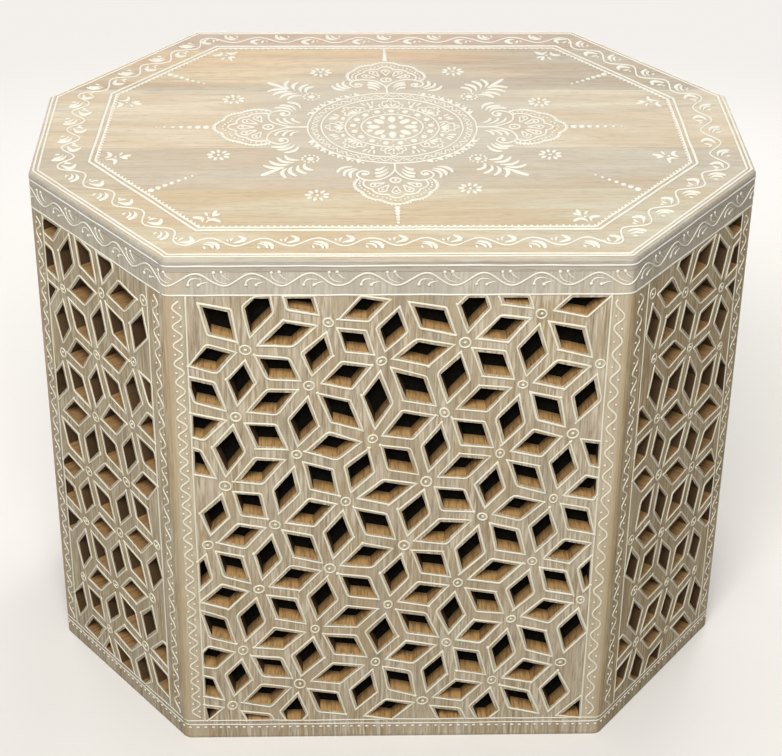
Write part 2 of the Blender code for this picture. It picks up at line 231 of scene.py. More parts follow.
TOOTH_TURN = math.radians(7.2)
FIRST_TOOTH = math.radians(23.4)

# Fan, from the foot of its stem outward, its right half
FAN_STEM = (
    (0, 0), (0.2, 12), (2, 19), (6, 26), (11, 30.8), (17.5, 33.2), (23.5, 33.2), (28.5, 30.4),
    (31.6, 25.5), (32, 21), (29.5, 16.8), (26, 15.5), (22.5, 17.6), (22, 21), (24.5, 23.5),
)
FAN_CURL = (26.0, 21.4)
FAN_CURL_DOT = 2.6
FAN_INNER_LEAVES = (
    ((8.3, 6.2), (11.0, 11.3), (15.3, 13.3)),
    ((6.0, 11.2), (9.8, 17.3), (15.5, 20.3)),
    ((5.5, 16.5), (9.5, 23.2), (15.0, 26.0)),
)
FAN_OUTER_LEAVES = (
    ((36.0, 6.8), (44.3, 9.8), (48.0, 17.5)),
    ((32.3, 10.3), (40.3, 15.3), (42.5, 23.8)),
    ((31.0, 13.2), (37.3, 19.5), (37.0, 28.3)),
)
FAN_INNER_SHAPE, FAN_OUTER_SHAPE = (1.8, 0.6), (2.0, 0.85)  # half width, and where it is widest
FAN_EYE = (0, 33.0)
FAN_EYE_RING, FAN_EYE_DOT = 4.5, 1.4
FAN_PETALS = (((0, 45.0), (0, 58.5)), ((6.2, 42.6), (13.3, 54.8)), ((9.8, 38.7), (21.0, 44.0)))
FAN_PETAL_WIDTHS = (3.6, 3.5)  # of the middle one and of the others
FAN_INNER_LOBES = (((24.8, 32.7), 4.2), ((19.8, 50.4), 3.6), ((7.0, 59.5), 7.0))
FAN_OUTER_LOBES = (((30.7, 31.5), 4.6), ((27.6, 56.0), 3.8), ((12.5, 70.2), 7.6))
FAN_BEADS = (((28.6, 33.5), 3.6), ((23.8, 53.4), 3.2), ((9.8, 64.8), 6.2))
FAN_BEAD = (4.2, 1.05, 0.0)  # pitch, size and lift
FAN_RIM_BEAD = (3.1, 0.95, 1.4)
FAN_RIM_WIDTH = 1.1 * LINE
LOBE_POINTS = 12
LOBE_FULL = 0.75
FAN_TIP = 78.0
FAN_DOTS_START = 6.5
FANS = (  # name, shift to the right, stretch across and along, and the dots at the tip
    ("back", -2.8, 1.04, 0.92, "spire"),
    ("left", 0.0, 1.10, 1.045, "trail"),
    ("front", 0.0, 1.0, 1.0, "spire"),
    ("right", 0.0, 1.06, 1.01, "trail"),
)
# Reach past the tip, count, largest and smallest of the dots
FAN_DOTS = {"spire": (33.0, 6, 2.8, 1.6), "trail": (48.0, 7, 3.3, 1.2)}

# Sprig, from the flower at its foot
SPRIG_LEAVES = (
    ((4.2, 8.6), (10.6, 14.0), (18.0, 12.4)),
    ((3.6, 15.0), (10.2, 21.0), (19.4, 20.4)),
    ((3.0, 21.2), (8.8, 28.4), (18.0, 29.6)),
    ((2.2, 27.2), (5.8, 35.0), (14.6, 38.6)),
)
SPRIG_TIP = ((0, 28.0), (0.3, 40.0), (0, 50.5))
SPRIG_TIP_WIDTH = 2.6
SPRIG_SHAPE = (2.2, 0.85)
SPRIG_EYE = 3.4
SPRIG_DOTS, SPRIG_DOT_RING, SPRIG_DOT = 11, 7.0, 1.3
SPRIG_PLACE = (71.0, 65.5)
SPRIG_WAY = (40.0, 32.0)
SPRIG_LEAN = {(1, 1): 0.2}  # the one at the back right lies steeper

# Motifs along the panel, from the middle of the top
CORNER_LEAVES = (
    ((-2.4, -0.2), (-5.6, 4.8), (-11.4, 4.2), 2.3),
    ((1.0, 0.0), (3.6, 6.2), (10.4, 4.9), 2.1),
    ((-3.0, 12.0), (-4.9, 13.9), (-7.0, 15.4), 1.5),
    ((0.8, 12.0), (0.2, 16.6), (-0.1, 20.8), 2.2),
    ((1.7, 12.4), (3.3, 14.6), (4.7, 16.8), 1.7),
)
CORNER_DOT = (-1.0, 8.0)
CORNER_DOT_SIZE = 1.2
CORNER_FULL = 0.8
CORNERS = (((153.0, 177.0), 4.0, 0.38), ((242.0, 60.5), 6.0, 1.25))  # place, shift to the back and lean
TRAIL = ((200.0, 121.0), (168.0, 96.5))  # from the panel's line inward
TRAIL_SHIFT = ((0.0, 6.0), (0.0, 8.5))
TRAIL_DOTS = (7, 3.2, 1.3)  # count, largest and smallest
FLOWERS = (
    (-148.0, -47.5), (-64.0, -125.0), (134.0, -47.5), (62.0, -113.0),
    (-140.0, 70.0), (-62.0, 132.0), (134.0, 63.0), (60.0, 134.0),
)
FLOWER_PETALS = 9
FLOWER_REACH, FLOWER_PETAL = (0, 7.6), (1.75, 1.75)
FLOWER_EYE = 1.6


class Side(NamedTuple):
    """One upright board, from its left end to its right end as seen from outside."""

    name: str
    kind: str
    hand: int
    start: np.ndarray
    along: np.ndarray
    outward: np.ndarray
    length: float
    lines: tuple  # the upright lines at its left and right end


# Shape of the table


def octagon():
    x, y = WIDTH / 2, DEPTH / 2
    near, far = x - CORNER_RUN_X, y - CORNER_RUN_Y
    corners = [(-near, -y), (near, -y), (x, -far), (x, far), (near, y), (-near, y), (-x, far), (-x, -far)]
    return np.array(corners)


def line_beside(kind, neighbour):
    if kind == "diagonal":
        return DIAGONAL_LINES[0] if neighbour == "wide" else DIAGONAL_LINES[1]
    return STILE_LINE


def make_sides():
    corners = octagon()
    sides = []
    for k, (name, kind, hand) in enumerate(SIDES):
        run = corners[(k + 1) % len(SIDES)] - corners[k]
        length = float(np.hypot(*run))
        along = run / length
        before, after = SIDES[k - 1][1], SIDES[(k + 1) % len(SIDES)][1]
        lines = (line_beside(kind, before), length - line_beside(kind, after))
        outward = np.array([along[1], -along[0]])
        sides.append(Side(name, kind, hand, corners[k], along, outward, length, lines))
    return sides


def on_board(side):
    """Places a point given along the board, above the floor and out of the board."""

    def place(points, lift):
        plan = side.start + points[:, :1] * side.along + lift[:, None] * side.outward
        return np.column_stack([plan, points[:, 1]])

    return place


def rim_path(sides):
    """Plan points of the rounded outline, their outward angle, and the length up to each."""
    points, angles = [], []
    for k, side in enumerate(sides):
        before = sides[k - 1]
        first = math.atan2(before.outward[1], before.outward[0])
        turn = math.acos(float(np.clip(before.outward @ side.outward, -1, 1)))
        centre = side.start - side.outward * CORNER_ROUND + side.along * CORNER_ROUND * math.tan(turn / 2)
        for step in range(CORNER_STEPS + 1):
            angle = first + turn * step / CORNER_STEPS
            points.append(centre + CORNER_ROUND * np.array([math.cos(angle), math.sin(angle)]))
            angles.append(angle)
    points.append(points[0])
    angles.append(angles[0])
    points = np.array(points)
    runs = np.concatenate([[0], np.cumsum(np.hypot(*np.diff(points, axis=0).T))])
    return points, np.unwrap(angles), runs


def on_rim(path):
    """Places a point given round the outline, above the floor and out of the outline."""
    points, angles, runs = path

    def place(spots, lift):
        s = np.mod(spots[:, 0], runs[-1])
        angle = np.interp(s, runs, angles)
        x = np.interp(s, runs, points[:, 0]) + lift * np.cos(angle)
        y = np.interp(s, runs, points[:, 1]) + lift * np.sin(angle)
        return np.column_stack([x, y, spots[:, 1]])

    return place


def on_top(points, lift):
    return np.column_stack([points, HEIGHT + lift])


def hole_loops(side):
    """Outlines of the board's holes on its outer face, anticlockwise."""
    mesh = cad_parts[f"board_{side.name}"].data
    mesh.calc_loop_triangles()
    places = np.array([v.co for v in mesh.vertices]) / MM
    along = (places[:, :2] - side.start) @ side.along
    depth = (places[:, :2] - side.start) @ side.outward
    keys = [(round(u, 2), round(z, 2)) for u, z in zip(along, places[:, 2])]
    follows = {}
    for triangle in mesh.loop_triangles:
        if all(abs(depth[v]) < FACE_SLACK for v in triangle.vertices):
            ring = [keys[v] for v in triangle.vertices]
            for edge in zip(ring, ring[1:] + ring[:1]):
                if edge[::-1] in follows:
                    del follows[edge[::-1]]
                else:
                    follows[edge] = True
    ahead = dict(follows.keys())
    loops = []
    while ahead:
        start, point = ahead.popitem()
        loop = [start]
        while point != start:
            loop.append(point)
            point = ahead.pop(point)
        loops.append(np.array(loop[::-1]))
    return sorted(loops, key=lambda loop: np.ptp(loop[:, 1]))[:-1]


def lattice_nodes(side):
    """Places where the straps of the openwork cross."""
    beside_wide = [round(line, 3) == DIAGONAL_LINES[0] for line in end_lines(side)]
    left, right = [DIAGONAL_STILE if beside else STILE for beside in beside_wide]
    if side.name in MIRRORED:
        left, right = right, left
    middle = np.array([(left + side.length - right) / 2, (FOOT_RAIL + BOARD_HEIGHT - TOP_BAND) / 2])
    row = ROW_PITCH * np.array([math.cos(ROW_RISE), math.sin(ROW_RISE)])
    column = -COLUMN_PITCH * np.array([math.sin(COLUMN_LEAN), math.cos(COLUMN_LEAN)])
    for i, j in itertools.product(range(-LATTICE_REACH, LATTICE_REACH + 1), repeat=2):
        hand = random.Random(f"{side.hand} {side.name} {i} {j}")
        stray = HAND_WANDER * np.array([hand.uniform(-1, 1), hand.uniform(-1, 1)])
        u, z = middle + LATTICE_SHIFT[side.kind] + i * row + j * column + stray
        yield np.array([side.length - u if side.name in MIRRORED else u, z])


def end_lines(side):
    return side.lines[0], side.length - side.lines[1]


# Strokes


def smooth(controls, step=CURVE_STEP, closed=False):
    """Points along a soft curve through the controls."""
    p = np.asarray(controls, float)
    p = np.vstack([p[-1:], p, p[:2]]) if closed else np.vstack([2 * p[0] - p[1], p, 2 * p[-1] - p[-2]])
    out = []
    for a, b, c, d in zip(p, p[1:], p[2:], p[3:]):
        count = max(2, math.ceil(np.hypot(*(c - b)) / step))
        t = np.linspace(0, 1, count, endpoint=False)[:, None]
        bend, twist = 2 * a - 5 * b + 4 * c - d, 3 * b - a - 3 * c + d
        out.append(0.5 * (2 * b + (c - a) * t + bend * t**2 + twist * t**3))
    out.append(p[1:2] if closed else p[-2:-1])
    return np.vstack(out)


def straight(points, step):
    """Points along straight runs, with every corner kept."""
    p = np.asarray(points, float)
    out = [p[:1]]
    for a, b in zip(p, p[1:]):
        count = max(1, math.ceil(np.hypot(*(b - a)) / step))
        out.append(a + (b - a) * np.linspace(0, 1, count + 1)[1:, None])
    return np.vstack(out)


def eased(points, reach):
    """A line of straight runs with its blunt corners rounded over a reach."""
    p = np.asarray(points, float)
    out = [p[:1]]
    for a, b, c in zip(p, p[1:], p[2:]):
        back, ahead = [(end - b) * min(EASE_SHARE, reach / np.hypot(*(end - b))) for end in (a, c)]
        blunt = back @ ahead < 0
        out.append([b + back, b + (back + ahead) / 4, b + ahead] if blunt else [b])
    return np.vstack([*out, p[-1:]])


def arc(centre, radius, first, last, step=CURVE_STEP):
    count = max(6, math.ceil(abs(last - first) * radius / step))
    angle = np.linspace(first, last, count + 1)
    return np.asarray(centre) + radius * np.column_stack([np.cos(angle), np.sin(angle)])


def spot(place, turn=0.0, wide=1.0, long=1.0):
    """Carries a motif drawn upward from its own origin to its place on the surface."""
    c, s = math.cos(turn), math.sin(turn)

    def put(points):
        p = np.atleast_2d(np.asarray(points, float)) * (wide, long)
        return np.asarray(place) + p @ np.array([[c, s], [-s, c]])

    return put


def mirrored(put, way):
    """The same placing, with the motif flipped where the way is -1."""
    return lambda points: put(np.asarray(points) * (way, 1))


class Paint:
    """Strokes and dots of one area, gathered into one mesh."""

    def __init__(self, name, place):
        self.name = name
        self.place = place
        self.hand = random.Random(name)
        self.verts = []
        self.faces = []
        self.count = 0

    def add(self, verts, faces):
        self.verts.append(verts)
        self.faces.extend([[self.count + v for v in face] for face in faces])
        self.count += len(verts)

    def tremble(self, count, amount):
        """Smooth sideways strays for the points of a line."""
        knots = max(3, count // 4)
        values = [self.hand.uniform(-amount, amount) for _ in range(knots)]
        return np.interp(np.linspace(0, knots - 1, count), range(knots), values)

    def stray(self, amount):
        return np.array([self.hand.uniform(-amount, amount), self.hand.uniform(-amount, amount)])

    def stroke(self, points, width=LINE, closed=False, tremble=TREMBLE):
        """A domed line. The width, half of it in fact, is one value or one for each point."""
        p = np.asarray(points, float)
        if closed:
            p = p[:-1] if np.allclose(p[0], p[-1]) else p
        count = len(p)
        half = np.broadcast_to(np.asarray(width, float), (count,)).copy()
        half *= 1 + self.tremble(count, SWELL)
        ahead = np.roll(p, -1, 0) - p
        if not closed:
            ahead[-1] = ahead[-2]
        ahead /= np.maximum(np.hypot(*ahead.T), 1e-9)[:, None]
        back = np.roll(ahead, 1, 0)
        if not closed:
            back[0] = ahead[0]
        cosine = np.clip((ahead * back).sum(1), SHARPEST, 1)
        mean = (ahead + back) / (1 + cosine)[:, None]
        across = np.column_stack([-mean[:, 1], mean[:, 0]])
        p = p + across * (self.tremble(count, tremble) if tremble else np.zeros(count))[:, None]
        if not closed:
            p, half, across = self.round_ends(p, half, across, ahead)
            count = len(p)
        height = DOME * np.minimum(half, CROWN)
        rows = []
        for offset, foot, rise in STROKE_SHAPE:
            rows.append(self.place(p + across * (offset * half)[:, None], foot + rise * height))
        verts = np.stack(rows, 1).reshape(-1, 3)
        size = len(STROKE_SHAPE)
        faces = []
        for k in range(count if closed else count - 1):
            here, there = k * size, (k + 1) % count * size
            for m in range(size):
                n = (m + 1) % size
                faces.append([here + m, here + n, there + n, there + m])
        if not closed:
            faces.append(list(range(size))[::-1])
            faces.append([(count - 1) * size + m for m in range(size)])
        self.add(verts, faces)

    @staticmethod
    def round_ends(p, half, across, ahead):
        """Adds a round end of two steps at each end of a line."""
        first, last = ahead[0] * half[0], ahead[-1] * half[-1]
        head = [(p[0] - first * reach, half[0] * share) for reach, share in reversed(STROKE_ENDS)]
        tail = [(p[-1] + last * reach, half[-1] * share) for reach, share in STROKE_ENDS]
        points = np.vstack([[h[0] for h in head], p, [t[0] for t in tail]])
        widths = np.concatenate([[h[1] for h in head], half, [t[1] for t in tail]])
        sides = np.vstack([across[:1], across[:1], across, across[-1:], across[-1:]])
        return points, widths, sides

    def dot(self, centre, radius, long=1.0, turn=0.0):
        """A domed drop of paint, drawn out to one side if it is longer than wide."""
        angle = np.linspace(0, 2 * math.pi, DOT_SIDES, endpoint=False)
        ring = np.column_stack([np.cos(angle), np.sin(angle) * long])
        put = spot(np.ravel(centre), turn)
        rise = DOME * min(radius, CROWN)
        rows = []
        for share, foot, height in DOT_SHAPE:
            lift = np.full(DOT_SIDES, foot + height * rise)
            rows.append(self.place(put(ring * radius * share), lift))
        faces = []
        for level, k in itertools.product(range(2), range(DOT_SIDES)):
            here, there = level * DOT_SIDES, (level + 1) * DOT_SIDES
            n = (k + 1) % DOT_SIDES
            faces.append([here + k, here + n, there + n, there + k])
        faces.append([2 * DOT_SIDES + k for k in range(DOT_SIDES)])
        faces.append(list(range(DOT_SIDES))[::-1])
        self.add(np.vstack(rows), faces)

    def comma(self, put, tail, bend, head, width, full=0.75):
        """A leaf stroke through its bend. At full 0.5 it is widest at the head, at full 1 halfway."""
        a, b, c = put([tail, bend, head]) + self.stray(LEAF_STRAY)
        knee = 2 * b - (a + c) / 2
        t = np.linspace(0, 1, max(6, math.ceil(np.hypot(*(c - a)) / LEAF_STEP)))[:, None]
        points = a * (1 - t) ** 2 + 2 * knee * t * (1 - t) + c * t**2
        least, belly = LEAF_WIDTHS
        self.stroke(points, width * (least + belly * np.sin(math.pi * full * t[:, 0])), tremble=0)

    def drop(self, put, tip, end, width):
        """A petal outlined as a teardrop, with a drop of paint inside."""
        tip, axis = np.asarray(tip, float), np.subtract(end, tip)
        side = np.array([-axis[1], axis[0]]) / np.hypot(*axis) * width
        right = [tip + axis * along - side * share for along, share in (DROP_WAIST, DROP_BELLY)]
        left = [tip + axis * along + side * share for along, share in (DROP_BELLY, DROP_WAIST)]
        outline = smooth(put([tip, *right, end, *left]), DROP_STEP, closed=True)
        self.stroke(outline, FINE, closed=True, tremble=0)
        self.dot(put([tip + axis * DROP_DOT[0]]), width * DROP_DOT[1])

    def beads(self, put, points, pitch, radius, lift):
        """Dots at one pitch along a line, lifted off it to its right."""
        points = np.asarray(points, float)
        steps = np.diff(points, axis=0)
        runs = np.concatenate([[0], np.cumsum(np.hypot(*steps.T))])
        for s in np.arange(pitch / 2, runs[-1], pitch):
            k = min(np.searchsorted(runs, s) - 1, len(steps) - 1)
            way = steps[k] / np.hypot(*steps[k])
            place = points[k] + way * (s - runs[k]) + np.array([way[1], -way[0]]) * lift
            self.dot(put([place]), radius * self.hand.uniform(*BEAD_SIZES))

    def finish(self, material):
        mesh = bpy.data.meshes.new(self.name)
        mesh.from_pydata(np.vstack(self.verts) * MM, [], self.faces)
        mesh.materials.append(material)
        mesh.shade_smooth()
        obj = add_object(self.name, mesh)
        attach(obj, "root")


# Piping on the boards


def spread(loop, distance):
    """The convex loop with each edge moved outward."""
    ahead = np.roll(loop, -1, 0) - loop
    ahead /= np.hypot(*ahead.T)[:, None]
    back = np.roll(ahead, 1, 0)
    out = np.column_stack([ahead[:, 1] + back[:, 1], -ahead[:, 0] - back[:, 0]])
    return loop + out * distance / (1 + np.clip((ahead * back).sum(1), SHARPEST_HOLE, 1))[:, None]


def outline_runs(loop, low, high):
    """The stretches of a loop inside a frame, open where it meets the frame's own lines."""
    inside = np.all((loop > low) & (loop < high), axis=1)
    kept = np.clip(loop, low, high)
    if inside.all():
        return [(kept, True)]
    first = int(np.argmin(inside))
    order = np.roll(np.arange(len(loop)), -first)
    runs, run = [], []
    for k, n in zip(order, np.roll(order, -1)):
        if inside[k] or inside[n]:
            run = run or [kept[k]]
            run.append(kept[n])
        elif run:
            runs.append((np.array(run), False))
            run = []
    return runs + ([(np.array(run), False)] if run else [])


def paint_openwork(paint, side):
    """A line round each hole, and a ring with a dot where the straps cross."""
    hand = paint.hand
    low = np.array([side.lines[0], BASE_LINES[0]])
    high = np.array([side.lines[1], APRON_LINE])
    for loop in hole_loops(side):
        stray = np.array([paint.stray(OUTLINE_STRAY) for _ in loop])
        for run, closed in outline_runs(spread(loop, OUTLINE_GAP) + stray, low, high):
            if closed:
                run = np.roll(run, hand.randrange(len(run)), 0)
                over = (run[0] - run[1]) / np.hypot(*(run[0] - run[1]))
                run = np.vstack([run[:1] + over * hand.uniform(*OVERSHOOTS), run[1:], run[:1]])
            run = eased(run, hand.uniform(*OUTLINE_EASES))
            paint.stroke(straight(run, OUTLINE_STEP), FINE * hand.uniform(*OUTLINE_WIDTHS))
            if hand.random() < BLOB_CHANCE:
                paint.dot(run[-1], hand.uniform(*BLOB_SIZES))
    for node in lattice_nodes(side):
        if np.all((node > low + RING_CLEAR) & (node < high - RING_CLEAR)):
            turn, wide, size = [hand.uniform(*span) for span in (RING_TURNS, RING_SHARES, RING_SIZES)]
            ring = spot(node, turn, wide)(arc((0, 0), RING * size, 0, 2 * math.pi))
            paint.stroke(ring, FINE * hand.uniform(*RING_WIDTHS), closed=True)
            paint.dot(node + paint.stray(RING_DOT_STRAY), RING_DOT, hand.uniform(*RING_DOT_LONG), turn)


def paint_stiles(paint, side):
    """The upright line at each end of a board, and the zigzag beside it."""
    ends = (side.lines[0], 1, 0.0), (side.length - side.lines[1], -1, side.length)
    for (inset, way, end), wave in zip(ends, ZIGZAG_WAVES[side.kind]):
        line = end + way * inset
        paint.stroke(straight([(line, BASE_LINES[0]), (line, APRON_LINE)], STILE_STEP), FINE)
        middle = end + way * ZIGZAG_INSET[round(inset, 3)]
        z = np.arange(BASE_LINES[0] + ZIGZAG_CLEAR[0], APRON_LINE - ZIGZAG_CLEAR[1], ZIGZAG_STEP)
        sway = ZIGZAG_SWING * np.sin(z * 2 * math.pi / wave)
        paint.stroke(np.column_stack([middle + sway, z]), ZIGZAG_WIDTH, tremble=ZIGZAG_TREMBLE)
        for k in range(math.ceil(z[0] / wave * 2), math.floor(z[-1] / wave * 2)):
            bend = -1 if k % 2 == 0 else 1
            place = (middle + bend * ZIGZAG_DOTS, (k + 0.5) * wave / 2)
            paint.dot(place, paint.hand.uniform(*ZIGZAG_DOT_SIZES))


def paint_bands(sides):
    """What runs round the table without a break: the vine under the top, and the foot's lines and dots."""
    path = rim_path(sides)
    length = path[2][-1]
    apron = Paint("paint_apron", on_rim(path))
    foot = Paint("paint_foot", on_rim(path))
    s = np.arange(0, length, BAND_STEP)
    lines = [(apron, z, FINE) for z in (EDGE_LINE, APRON_LINE)]
    lines += [(foot, z, BASE_WIDTH) for z in BASE_LINES]
    for area, z, width in lines:
        area.stroke(np.column_stack([s, np.full(len(s), z)]), width, closed=True)
    wave = length / round(length / APRON_WAVE)
    s = np.arange(0, length, CURVE_STEP)
    sway = APRON_SWING * np.sin(2 * math.pi * (s - APRON_START) / wave)
    apron.stroke(np.column_stack([s, APRON_VINE + sway]), FINE, closed=True)
    for k in range(round(2 * length / wave)):
        way, leaves = (1, CREST_LEAVES) if k % 2 == 0 else (-1, TROUGH_LEAVES)
        put = spot((APRON_START + (k + 0.5) * wave / 2, APRON_VINE + way * APRON_SWING))
        for tail, bend, head in leaves:
            apron.comma(put, tail, bend, head, FINE, 0.5)
            apron.dot(put([head]), LEAF_HEAD * apron.hand.uniform(*HEAD_SIZES))
    for k in range(round(length / BASE_DOT_PITCH)):
        size = foot.hand.uniform(*BASE_DOT_SIZES)
        foot.dot((k * BASE_DOT_PITCH, BASE_DOTS), size, BASE_DOT_LONG, math.pi / 2)
    return [apron, foot]


# Piping on the top


def shrink(corners, distance):
    """An anticlockwise outline with each edge moved inward."""
    return spread(np.asarray(corners), -distance)


def along_outline(corners):
    """Length of an outline, and a function that gives the point and direction at a length."""
    ring = np.vstack([corners, corners[:1]])
    edges = np.diff(ring, axis=0)
    runs = np.concatenate([[0], np.cumsum(np.hypot(*edges.T))])

    def at(s):
        s = np.mod(s, runs[-1])
        k = min(np.searchsorted(runs, s, side="right") - 1, len(edges) - 1)
        way = edges[k] / np.hypot(*edges[k])
        return ring[k] + way * (s - runs[k]), way

    return runs[-1], at


def panel_outline():
    return np.array([*PANEL_BACK, *PANEL_FRONT])[::-1]


def paint_lines(paint):
    """The border lines, and the double line of the panel with its beads."""
    panel = panel_outline()
    lines = (
        (octagon(), ARRIS_LINE, LINE),
        (octagon(), BORDER_LINE, LINE),
        (panel, 0.0, BOLD),
        (panel, PANEL_GAP, LINE),
    )
    for corners, inset, width in lines:
        loop = shrink(corners, inset)
        paint.stroke(straight(np.vstack([loop, loop[:1]]), PANEL_STEP), width, closed=True)
    length, at = along_outline(shrink(panel, PANEL_GAP + PICOT_LIFT))
    for k in range(round(length / PICOT_PITCH)):
        place, _ = at(k * PICOT_PITCH)
        paint.dot(place, paint.hand.uniform(*PICOT_SIZES))


def paint_vine(paint, sides):
    """The waving stem between the border line and the panel, with a nest of leaves in each bend."""
    outer = shrink(octagon(), BORDER_LINE)
    inner = panel_outline()
    shift = np.argmin(np.hypot(*(inner - outer[0]).T))
    middle = (outer + np.roll(inner, -shift, 0)) / 2
    runs = np.roll(middle, -1, 0) - middle
    points = []
    for k, side in enumerate(sides):
        waves = VINE_WAVES.get(side.name, DIAGONAL_WAVES)
        way = runs[k] / np.hypot(*runs[k])
        share = np.linspace(0, 1, waves * VINE_POINTS, endpoint=False)[:, None]
        sway = -VINE_SWING * np.cos(2 * math.pi * waves * share)
        points.append(middle[k] + runs[k] * share + np.array([-way[1], way[0]]) * sway)
        for bend in range(2 * waves):
            ahead = way + runs[k - 1] / np.hypot(*runs[k - 1]) if bend == 0 else way
            put = spot(middle[k] + runs[k] * bend / (2 * waves), math.atan2(ahead[1], ahead[0]))
            for tail, knee, head, width in CREST_NEST if bend % 2 else TROUGH_NEST:
                paint.comma(put, tail, knee, head, width, CREST_FULL if bend % 2 else TROUGH_FULL)
    points = np.vstack(points)
    for _ in range(VINE_SMOOTHING):
        points = (np.roll(points, 1, 0) + points + np.roll(points, -1, 0)) / 3
    paint.stroke(points, VINE_WIDTH, closed=True)


def paint_medallion(paint):
    middle = np.array(MEDALLION)
    outer, band, inner, _ = MEDALLION_RINGS
    for radius in MEDALLION_RINGS:
        paint.stroke(arc(middle, radius, 0, 2 * math.pi, MEDALLION_STEP), MEDALLION_WIDTH, closed=True)
    paint.dot(middle, HEART)
    for k in range(PETALS):
        turn, half = [step * 2 * math.pi / PETALS for step in (k, k + 0.5)]
        on, between = spot(middle, turn), spot(middle, half)
        paint.dot(on([PETAL_PLACE]), *PETAL, turn)
        paint.dot(between([BUD_PLACE]), *BUD, half)
        paint_shell(paint, spot(on([(0, inner)])[0], turn))
        paint_spray(paint, spot(between([(0, inner)])[0], half))
    for k in range(BEADS):
        paint.dot(spot(middle, k * 2 * math.pi / BEADS)([BEAD_PLACE]), BEAD)
        for place in SEED_PLACES:
            paint.dot(spot(middle, (k + 0.5) * 2 * math.pi / BEADS)([place]), SEED)
    angle = np.linspace(0, 2 * math.pi, WAVES * WAVE_POINTS, endpoint=False)
    radius = (outer + band) / 2 + WAVE_SWING * np.sin(WAVES * angle)
    wave = radius[:, None] * np.column_stack([np.cos(angle), np.sin(angle)])
    paint.stroke(middle + wave, WAVE_WIDTH, closed=True)
    for k in range(2 * WAVES):
        way = -1 if k % 2 == 0 else 1
        put = spot(middle, (k + 0.5) * math.pi / WAVES - math.pi / 2)
        paint.dot(put([(0, (outer + band) / 2 + way * WAVE_DOTS)]), WAVE_DOT)
    rim = np.array([0, outer])
    for quarter, k in itertools.product(range(4), range(TEETH)):
        turn = quarter * math.pi / 2 + FIRST_TOOTH + k * TOOTH_TURN
        for place, shape in TOOTH:
            paint.dot(spot(middle, turn)([rim + place]), *shape, turn)
        place, size = TOOTH_GAP_DOT
        paint.dot(spot(middle, turn + TOOTH_TURN / 2)([rim + place]), size)


def paint_shell(paint, put):
    """A small scalloped fan on the inner ring."""
    right = [(-x, y) for x, y in reversed(SHELL[:-1])]
    paint.stroke(smooth(put([*SHELL, *right]), SHELL_STEP), SHELL_WIDTH, tremble=SLIGHT)
    for turn in SHELL_RIBS:
        tip = np.array([math.sin(turn), math.cos(turn)])
        paint.comma(put, *(tip * reach for reach in SHELL_RIB), DASH_WIDTH)
    paint.dot(put([SHELL_DOT]), SHELL_DOT_SIZE)


def paint_spray(paint, put):
    """A bud between two shells with dashes round it."""
    paint.dot(put([SPRAY_BUD_PLACE]), *SPRAY_BUD)
    for x in SPRAY_DASHES:
        paint.comma(put, *((x * share, y) for share, y in SPRAY_DASH), DASH_WIDTH)


def paint_fan(paint, put, dots):
    """A lobed fan on a split stem, with scrolls and leaves at its foot and a trail of dots at its tip."""
    for way in (-1, 1):
        half = mirrored(put, way)
        paint.stroke(smooth(half(FAN_STEM)), LINE)
        paint.dot(half([FAN_CURL]), FAN_CURL_DOT)
        for leaf in FAN_INNER_LEAVES:
            paint.comma(half, *leaf, *FAN_INNER_SHAPE)
        for leaf in FAN_OUTER_LEAVES:
            paint.comma(half, *leaf, *FAN_OUTER_SHAPE)
        for petal in FAN_PETALS[1:]:
            paint.drop(half, *petal, FAN_PETAL_WIDTHS[1])
    paint.drop(put, *FAN_PETALS[0], FAN_PETAL_WIDTHS[0])
    paint.stroke(put(arc(FAN_EYE, FAN_EYE_RING, 0, 2 * math.pi)), LINE, closed=True)
    paint.dot(put([FAN_EYE]), FAN_EYE_DOT)
    paint.stroke(put(lobes(FAN_INNER_LOBES)), LINE, tremble=SLIGHT)
    paint.stroke(put(lobes(FAN_OUTER_LOBES)), FAN_RIM_WIDTH, tremble=SLIGHT)
    paint.beads(put, lobes(FAN_OUTER_LOBES), *FAN_RIM_BEAD)
    paint.beads(put, lobes(FAN_BEADS), *FAN_BEAD)
    reach, *sizes = FAN_DOTS[dots]
    paint_trail(paint, *put([(0, FAN_TIP + FAN_DOTS_START), (0, FAN_TIP + reach)]), *sizes)


def lobes(cusps):
    """A row of round lobes from the right side of a fan over its tip to the left side."""
    right = [(np.array(place), bulge) for place, bulge in cusps]
    corners = [place for place, _ in right] + [place * (-1, 1) for place, _ in reversed(right)]
    bulges = [bulge for _, bulge in right] + [bulge for _, bulge in reversed(right[:-1])]
    points = []
    for a, b, bulge in zip(corners, corners[1:], bulges):
        out = np.array([b[1] - a[1], a[0] - b[0]]) / np.hypot(*(b - a))
        share = np.linspace(0, 1, LOBE_POINTS, endpoint=False)[:, None]
        points.append(a + (b - a) * share + out * bulge * np.sin(math.pi * share) ** LOBE_FULL)
    return np.vstack([*points, corners[-1:]])


def paint_sprig(paint, put):
    """Leaves on both sides of an unseen stem, and a dotted flower at its foot."""
    paint.comma(put, *SPRIG_TIP, SPRIG_TIP_WIDTH)
    for way, leaf in itertools.product((-1, 1), SPRIG_LEAVES):
        paint.comma(mirrored(put, way), *leaf, *SPRIG_SHAPE)
    paint.dot(put([(0, 0)]), SPRIG_EYE)
    for k in range(SPRIG_DOTS):
        place = arc((0, 0), SPRIG_DOT_RING, k * 2 * math.pi / SPRIG_DOTS, 0)[:1]
        paint.dot(put(place), SPRIG_DOT)


